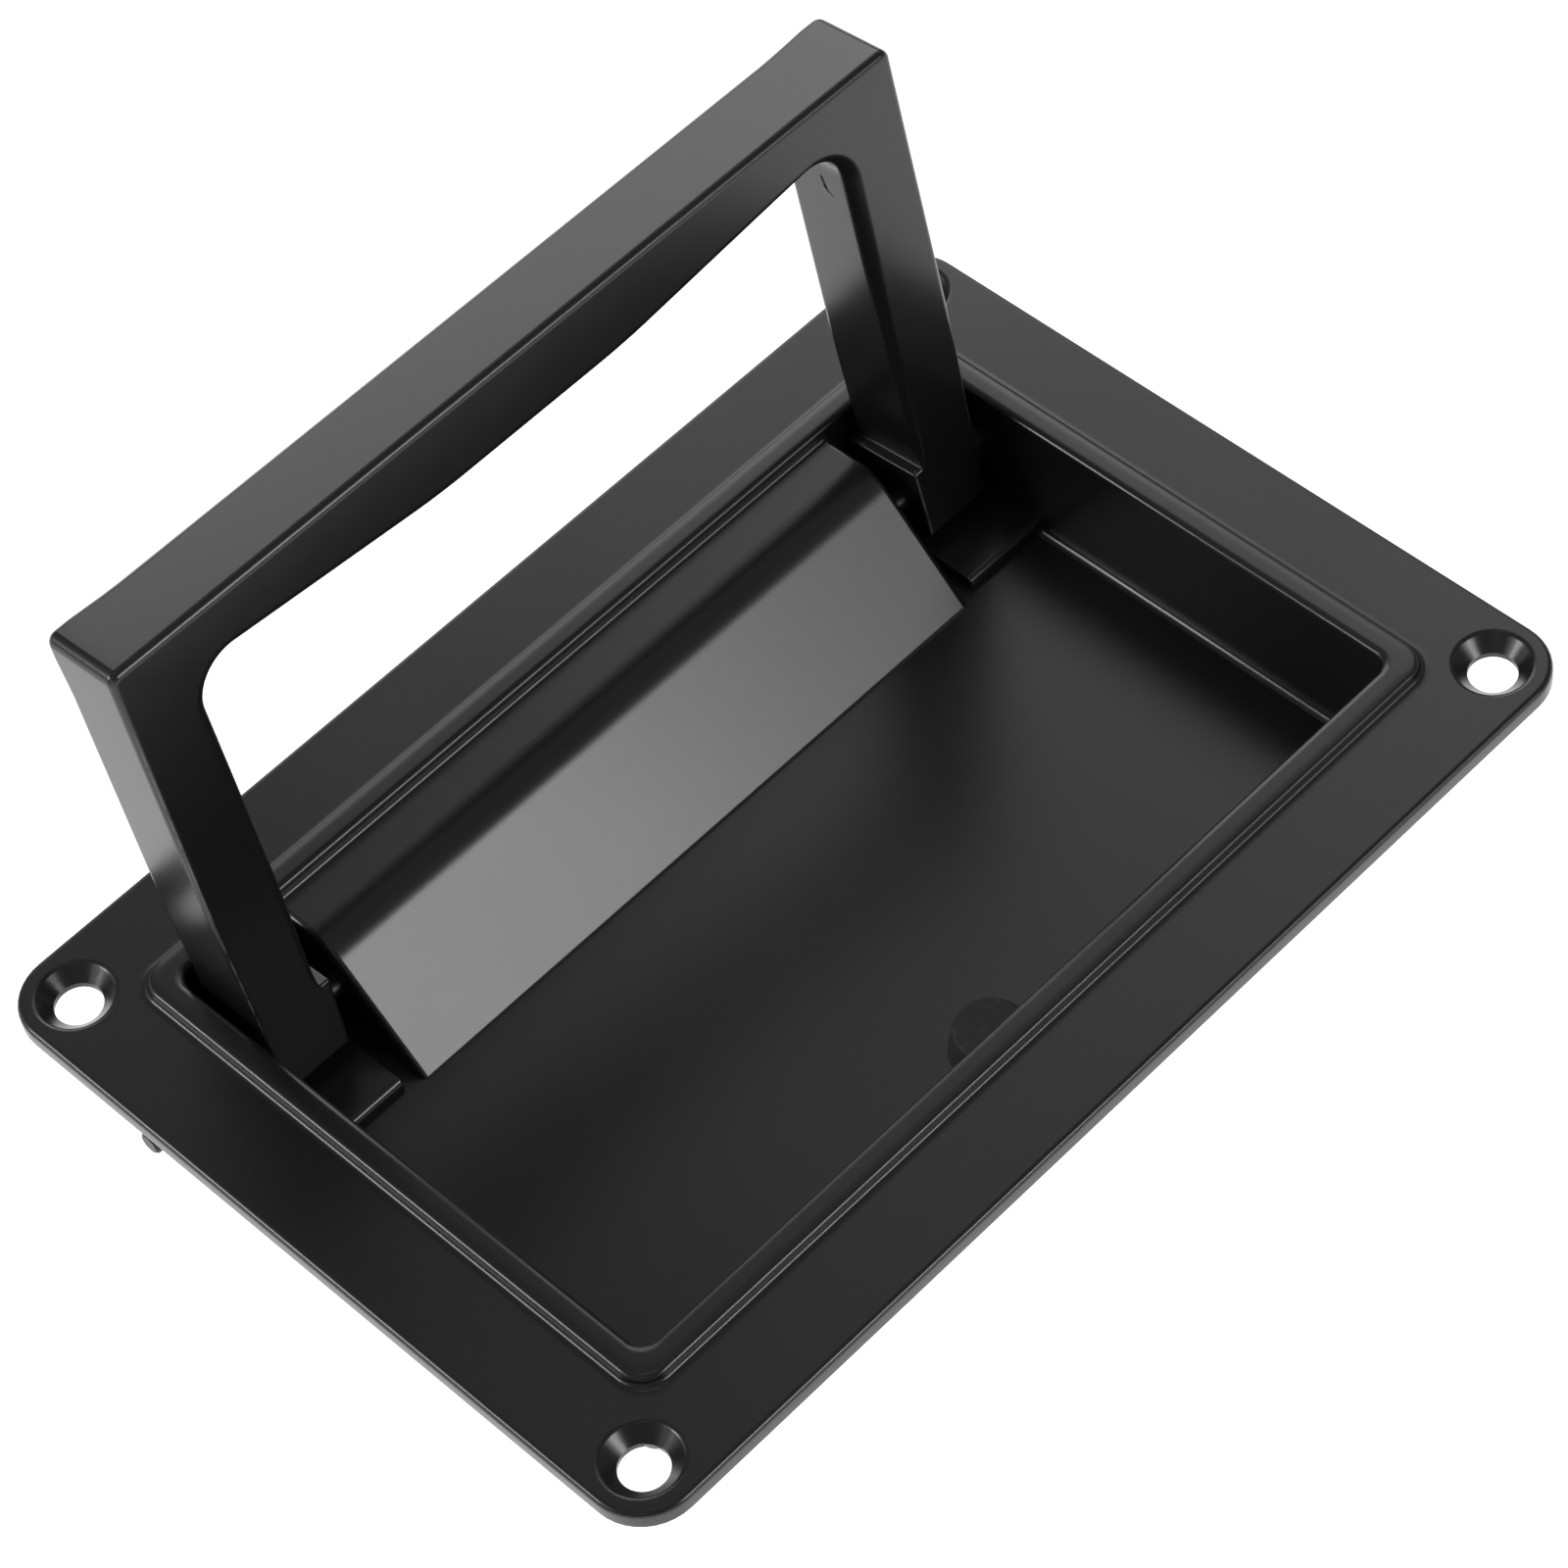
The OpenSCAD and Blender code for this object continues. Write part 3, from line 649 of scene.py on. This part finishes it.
# %% [markdown]
# ## Writing finishes as expressions
#
# A finish is a recipe: noise for the grain, a little arithmetic, and the results led to the sockets of
# one shader. Wiring nodes by hand hides the arithmetic, so a small class wraps a socket and lets it
# stand in an ordinary Python expression. Every other node comes from one method.

# %% Shader arithmetic
class Number:
    """A socket's value; an operator adds the Math node that does it."""

    def __init__(self, finish, socket):
        self.finish, self.socket = finish, socket

    def maths(self, operation, *values):
        return self.finish.node("ShaderNodeMath", {"operation": operation}, dict(enumerate(values)))

    def __add__(self, other):
        return self.maths("ADD", self, other)

    def __sub__(self, other):
        return self.maths("SUBTRACT", self, other)

    def __rsub__(self, other):
        return self.maths("SUBTRACT", other, self)

    def __mul__(self, other):
        return self.maths("MULTIPLY", self, other)

    def __truediv__(self, other):
        return self.maths("DIVIDE", self, other)

    def __rtruediv__(self, other):
        return self.maths("DIVIDE", other, self)

    __radd__ = __add__
    __rmul__ = __mul__

    def between(self, low, high):
        """0 below low, 1 above high and smooth in between."""
        return self.finish.node("ShaderNodeMapRange", {"interpolation_type": "SMOOTHSTEP"},
                                {0: self, 1: low, 2: high, 3: 0.0, 4: 1.0})


class Finish:
    """A material under construction."""

    def __init__(self, name):
        self.material = bpy.data.materials.new(name)
        self.material.use_nodes = True
        self.tree = self.material.node_tree
        self.tree.nodes.clear()

    def node(self, kind, settings=None, inputs=None, output=0):
        """Adds a node; settings come first, then the values or links of its sockets."""
        made = self.tree.nodes.new(kind)
        for key, value in (settings or {}).items():
            setattr(made, key, value)
        for key, value in (inputs or {}).items():
            if isinstance(value, Number):
                self.tree.links.new(value.socket, made.inputs[key])
            else:
                made.inputs[key].default_value = value
        return made if output is None else Number(self, made.outputs[output])

    def noise(self, place, scale, detail, rough=0.5):
        return self.node("ShaderNodeTexNoise", {"noise_dimensions": "3D"},
                         {"Vector": place, "Scale": scale, "Detail": detail, "Roughness": rough})

    def mix(self, share, first, second):
        """A colour between two colours."""
        return self.node("ShaderNodeMix", {"data_type": "RGBA"}, {0: share, 6: first, 7: second}, 2)

    def place(self):
        """Where a point lies on the piece, in metres."""
        return self.node("ShaderNodeTexCoord", output="Object")

    def bump(self, strength, distance, height):
        """Normals as if the surface rose by distance where height is 1."""
        return self.node("ShaderNodeBump", None,
                         {"Strength": strength, "Distance": distance, "Height": height})

    def surface(self, inputs):
        """Ends the recipe: one shader with these inputs."""
        shader = self.node("ShaderNodeBsdfPrincipled", None, inputs)
        self.node("ShaderNodeOutputMaterial", None, {"Surface": shader}, None)
        return self.material


print("arithmetic ready")

# %% [markdown]
# ## The black coating
#
# The castings are sprayed black. From arm's length the coat is an even satin, close up it has a fine
# grain, faint clouds where it lies thicker, and a slight orange peel that bends reflections. Over
# sharp edges it is a touch glossier, and a painted highlight makes it paler there, in patches. All
# of that is far too fine for geometry, so noises of different size drive colour, roughness and
# a bump of a few thousandths of a millimetre. The flap of flash in the screw hole is nearly bare metal.
#
# On the bail, thin pale lines are painted as highlights along the front edges of the legs. Such a line lies
# in the middle of an edge's roll, and there a point is as far from the side of the leg as from its front.
# The difference of those two distances is then 0, whatever the radius of the roll is.

# %% Painted highlight lines
# These lines are painted highlights: a paler colour along the edge rolls, where bright edge highlights lie.
LINE_SHIFT, LINE_FULL, LINE_GONE = 0.15, 0.06, 0.24
DEPTH_OUT = (0.7, 1.1)
# Heights on the upright bail between which a line fades in or out.
LEG_LINE_IN, LEG_LINE_OUT, HUB_LINE_OUT = (4.0, 10.0), (52.0, 60.0), (5.6, 6.2)


def painted_highlight_line(from_side, from_front):
    """1 on a thin painted highlight line just in front of the middle of an edge's roll, 0 elsewhere."""
    across = from_side - from_front - LINE_SHIFT
    return 1 - across.maths("ABSOLUTE", across).between(LINE_FULL, LINE_GONE)


def painted_highlight_edges(finish, place):
    """Where highlight lines are painted: 1 on the legs' outer front edges and on the right hub's inner one, 0
    elsewhere.
    """
    axes = finish.node("ShaderNodeSeparateXYZ", None, {0: place}, None)
    x, y, z = (Number(finish, axes.outputs[k]) / MM for k in range(3))
    back, up = y - AXIS_Y, z - AXIS_Z
    u = back * math.sin(LEAN) + up * math.cos(LEAN)
    from_front = back * math.cos(LEAN) - up * math.sin(LEAN) - BAIL["front"]
    below = TAPER_FROM - u
    from_outside = BAIL["half_x"] - TAPER * below.maths("MAXIMUM", below, 0.0) - x.maths("ABSOLUTE", x)
    from_inside = x - HUB_IN - HUB_TAPER / (SHELF_U + HUB_R) * (SHELF_U - u)
    on_leg = u.between(*LEG_LINE_IN) * (1 - u.between(*LEG_LINE_OUT))
    on_hub = 1 - u.between(*HUB_LINE_OUT)
    lines = painted_highlight_line(from_outside, from_front) * on_leg + painted_highlight_line(from_inside, from_front) * on_hub
    return lines * (1 - from_front.between(*DEPTH_OUT))


print("rubbed lines fade out", LINE_GONE, "mm from their middle")

# %% Satin black coat
FLASH_HOLE, BARE_FULL_R, BARE_GONE_R = (-HOLE_X * MM, -HOLE_Y * MM, 0), HOLE_R - 0.14, HOLE_R - 0.04
DARK, LESS_DARK = (0.006, 0.006, 0.0063, 1), (0.0085, 0.0085, 0.009, 1)
# The first two colours here are painted highlights: a paler coat on sharp edges and along the bail's edge
# lines.
PAINTED_EDGE_HIGHLIGHT, PAINTED_LINE_HIGHLIGHT, BARE_METAL = (0.03, 0.03, 0.031, 1), (0.08, 0.08, 0.08, 1), (0.42, 0.41, 0.4, 1)


def inside_flash_hole(finish, place):
    """1 on what stands inside the bore of the screw hole with the flash, 0 elsewhere."""
    in_plan = finish.node("ShaderNodeVectorMath", {"operation": "MULTIPLY"}, {0: place, 1: (1, 1, 0)})
    off_axis = finish.node("ShaderNodeVectorMath", {"operation": "DISTANCE"},
                           {0: in_plan, 1: FLASH_HOLE}, "Value")
    return 1 - off_axis.between(BARE_FULL_R * MM, BARE_GONE_R * MM)


def satin_black(name, painted_lines=False):
    """The coat; the second argument adds thin painted highlight lines along the bail's edges."""
    finish = Finish(name)
    place = finish.place()
    clouds = finish.noise(place, 26.0, 3.0)
    peel = finish.noise(place, 420.0, 2.0)
    grain = finish.noise(place, 3200.0, 3.0, 0.6)
    edge = finish.node("ShaderNodeNewGeometry", output="Pointiness").between(0.53, 0.62)
    edge_highlight_share = edge * grain.between(0.35, 0.7)
    colour = finish.mix(clouds.between(0.3, 0.7), DARK, LESS_DARK)
    # Painted highlight: sharp edges made paler in patches.
    colour = finish.mix(edge_highlight_share * 0.5, colour, PAINTED_EDGE_HIGHLIGHT)
    colour = finish.mix(inside_flash_hole(finish, place), colour, BARE_METAL)
    if painted_lines:
        # Painted highlight lines along the bail's edges, broken into patches.
        patches = finish.noise(place, 500.0, 2.0).between(0.25, 0.6)
        colour = finish.mix(painted_highlight_edges(finish, place) * patches, colour, PAINTED_LINE_HIGHLIGHT)
    return finish.surface({
        "Base Color": colour,
        "Roughness": 0.2 + clouds * 0.05 + grain * 0.05 - edge * 0.05,
        "IOR": 1.5,
        "Normal": finish.bump(0.35, 0.02 * MM, peel * 0.6 + grain * 0.5),
    })


for piece, coat in ((tray, satin_black("satin_black_tray")), (bail, satin_black("satin_black_bail", True))):
    piece.data.materials.clear()
    piece.data.materials.append(coat)
print("coated:", tray.name, bail.name)

# %% [markdown]
# ## Pin, rings and pad
#
# The pin and its rings keep their solids from the imported model. They are given a near-black steel finish,
# which keeps them dark in the gaps beside the hubs. The rubber pad is turned here, because its foot, its
# leaning side and the soft roll at its top are one profile. It is dull black and greys with dust.

# %% The rubber pad
side = math.atan2(PAD["foot_r"] - PAD["top_r"], PAD["top"] - floor)
roll_z = PAD["top"] - PAD["roll"]
side_r = PAD["foot_r"] - (roll_z - floor) * math.tan(side)
pad_profile = [(PAD["foot_r"], floor - PAD["seat"]), (PAD["foot_r"], floor)]
pad_profile += arc((side_r - PAD["roll"] / math.cos(side), roll_z), PAD["roll"], math.degrees(side), 90, 6)
pad = turned("rubber_pad", pad_profile, (0, PAD["y"]), 64)
soften(pad)
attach(pad, "tray")
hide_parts("bumper_pad")
print("pad:", [(round(r, 2), round(z, 2)) for r, z in pad_profile])

# %% Steel and rubber
# A near-black metal, which keeps the pin and rings dark in the gaps beside the hubs.
def plated_steel(name):
    finish = Finish(name)
    place = finish.place()
    clouds = finish.noise(place, 300.0, 3.0)
    lines = finish.noise(place, 2400.0, 2.0)
    return finish.surface({
        "Base Color": finish.mix(clouds, (0.02, 0.02, 0.021, 1), (0.04, 0.04, 0.041, 1)),
        "Metallic": 1.0,
        "Roughness": 0.28 + clouds * 0.2,
        "Normal": finish.bump(0.3, 0.01 * MM, lines),
    })


def dull_rubber(name):
    finish = Finish(name)
    place = finish.place()
    dust = finish.noise(place, 900.0, 4.0)
    grain = finish.noise(place, 5200.0, 3.0)
    return finish.surface({
        "Base Color": finish.mix(dust.between(0.45, 0.8), (0.012, 0.012, 0.012, 1), (0.03, 0.03, 0.029, 1)),
        "Roughness": 0.62 + dust * 0.2,
        "Normal": finish.bump(0.5, 0.02 * MM, grain),
    })


TURNED_CREASE_ANGLE = 30
steel = plated_steel("plated_steel")
for name in ("hinge_pin", "retaining_ring_left", "retaining_ring_right"):
    node = frame["nodes"][name]
    node.data.materials.clear()
    node.data.materials.append(steel)
    node.data.shade_smooth()
    node.data.set_sharp_from_angle(angle=math.radians(TURNED_CREASE_ANGLE))
pad.data.materials.append(dull_rubber("dull_rubber"))
print("finishes on pin, rings and pad done")

# %% [markdown]
# ## Floor, light and camera
#
# The picture is a product shot on white. The floor glows enough to read as white, so it shows no
# shadow, and the steep faces of the handle mirror it. Black satin shows little but reflections,
# so every tone in the picture says where a light stood. Low softboxes in front shine in the hump's slope,
# and low ones behind in the level faces. One on the left draws the outer face of the left leg, and a
# strong one behind it draws the thin lines along the rim's left side. The dim ones fill the rest.

# %% Floor
floor_mesh = bpy.data.meshes.new("studio_floor")
reach, floor_level = 6.0, (floor - FLOOR_THICK) * MM
corners = [(sx * reach, sy * reach, floor_level) for sx, sy in ((-1, -1), (1, -1), (1, 1), (-1, 1))]
floor_mesh.from_pydata(corners, [], [(0, 1, 2, 3)])
studio_floor = bpy.data.objects.new("studio_floor", floor_mesh)
bpy.context.scene.collection.objects.link(studio_floor)
pale = Finish("pale_floor")
floor_mesh.materials.append(pale.surface({
    "Base Color": (0.1, 0.1, 0.1, 1),
    "Roughness": 0.8,
    "Specular IOR Level": 0.0,
    "Emission Color": (1, 1, 1, 1),
    "Emission Strength": 1.35,
}))
print("floor at", floor_level)

# %% Softboxes
BOX_SIZE, BOX_DISTANCE = 0.45, 1.5


def softbox(name, azimuth, elevation, brightness):
    """Square softbox that faces the handle; azimuth runs from the rear towards the right."""
    a, e = math.radians(azimuth), math.radians(elevation)
    towards = Vector((math.sin(a) * math.cos(e), math.cos(a) * math.cos(e), math.sin(e)))
    lamp = bpy.data.lights.new(name, "AREA")
    lamp.shape, lamp.size = "SQUARE", BOX_SIZE
    lamp.energy = brightness * math.pi * BOX_SIZE ** 2
    holder = bpy.data.objects.new(name, lamp)
    holder.location = towards * BOX_DISTANCE
    holder.rotation_mode = "QUATERNION"
    holder.rotation_quaternion = (-towards).to_track_quat("-Z", "Y")
    bpy.context.scene.collection.objects.link(holder)
    print(name, "at", tuple(round(v, 2) for v in holder.location))


# Each row is (name, azimuth, elevation, brightness).
SOFTBOXES = (
    ("front_softbox", 166, 26, 8.4),
    ("front_right_softbox", 154, 26, 2.6),
    ("rear_right_softbox", 45, 34, 2.9),
    ("rear_softbox", 25, 34, 2.3),
    ("left_softbox", -75, 30, 1.9),
    ("left_rear_softbox", -55, 27, 12.0),
    ("rear_low_fill", 25, 18, 1.3),
    ("rear_right_low_fill", 40, 18, 1.3),
    ("right_high_fill", 65, 45, 1.2),
    ("rear_left_low_fill", -30, 20, 1.0),
    ("rear_right_high_fill", 45, 52, 0.62),
    ("top_fill", 0, 85, 0.58),
    ("left_rear_high_fill", -30, 45, 0.4),
    ("left_front_high_fill", -120, 50, 0.4),
)
for row in SOFTBOXES:
    softbox(*row)

# %% Dim light from all round
sky = bpy.data.worlds.new("dim_studio")
sky.use_nodes = True
background = sky.node_tree.nodes["Background"]
background.inputs["Color"].default_value = (1, 1, 1, 1)
background.inputs["Strength"].default_value = 0.25
bpy.context.scene.world = sky
print("light from all round:", background.inputs["Strength"].default_value)

# %% [markdown]
# The camera was fitted to the photograph from the edges of the flange, the rim, the screw holes and the
# bail. It looks down from the left front, a little rolled, through a long lens.

# %% Camera
CAMERA_AT, AIM_AT, ROLL_DEGREES = (-0.21626, -0.28772, 0.46786), (0.00542, 0.00629, 0.0), -10.689
lens = bpy.data.cameras.new("camera")
lens.sensor_width, lens.lens = 36.0, 119.66
lens.clip_start, lens.clip_end = 0.05, 20.0
camera = bpy.data.objects.new("camera", lens)
camera.location = CAMERA_AT
camera.rotation_mode = "QUATERNION"
look = (Vector(AIM_AT) - camera.location).to_track_quat("-Z", "Y")
roll = Matrix.Rotation(math.radians(ROLL_DEGREES), 3, "Z").to_quaternion()
camera.rotation_quaternion = look @ roll
bpy.context.scene.collection.objects.link(camera)
bpy.context.scene.camera = camera
bpy.context.scene.view_settings.view_transform = "Standard"
print("camera at", tuple(round(v, 3) for v in camera.location))
